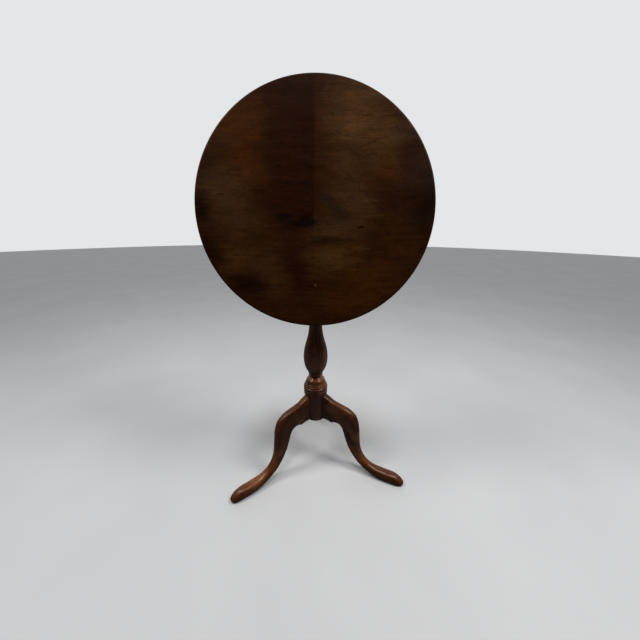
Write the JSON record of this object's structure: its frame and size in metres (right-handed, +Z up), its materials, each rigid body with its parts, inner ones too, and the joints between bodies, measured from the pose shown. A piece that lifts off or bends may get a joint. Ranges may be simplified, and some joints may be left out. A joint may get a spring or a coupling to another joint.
{
  "type": "tilt top table",
  "caption": "Round tilt top table in dark polished wood: top tips on a pinned block with a brass bolt, turned vase column, cabriole legs with slipper feet.",
  "frame": {"origin": "on the floor under the centre line of the column", "axes": "+Z up; X along the hinge line; -Y is the side that the tipped top faces"},
  "size_m": [0.5121, 0.4566, 0.998],
  "materials": {
    "top_wood": "satin French polish over figured brown wood, grain along the hinge line",
    "base_wood": "glossy polish, worn lighter on the ridges",
    "underside_wood": "dull stained wood",
    "pale_wood": "bare end grain",
    "brass": "aged",
    "steel": "dull",
    "iron": "black wrought plate"
  },
  "bodies": {
    "base": {"pivot_block": "underside_wood", "tenon_wedge": "pale_wood", "strike_plate": "brass", "strike_screws": "brass", "column": "base_wood", "leg_front_left": "base_wood", "leg_front_right": "base_wood", "leg_rear": "base_wood", "brace_plate": "iron", "brace_screws": "steel"},
    "top": {"top_board": "top_wood", "batten_left": "underside_wood", "batten_right": "underside_wood", "batten_screws": "steel", "catch_plate": "brass", "catch_case": "brass", "catch_leaf": "brass", "catch_screws": "brass"},
    "bolt": {"catch_bolt": "brass", "catch_knob": "brass"}
  },
  "joints": [
    {"name": "top_tilt", "type": "hinge", "parent": "base", "child": "top", "pos_m": [0, -0.06, 0.689], "axis": [1, 0, 0], "range_deg": [-76.8, 0]},
    {"name": "bolt_slide", "type": "slide", "parent": "top", "child": "bolt", "axis": [0, -0.2284, -0.9736], "range_m": [0, 0.01]}
  ]
}
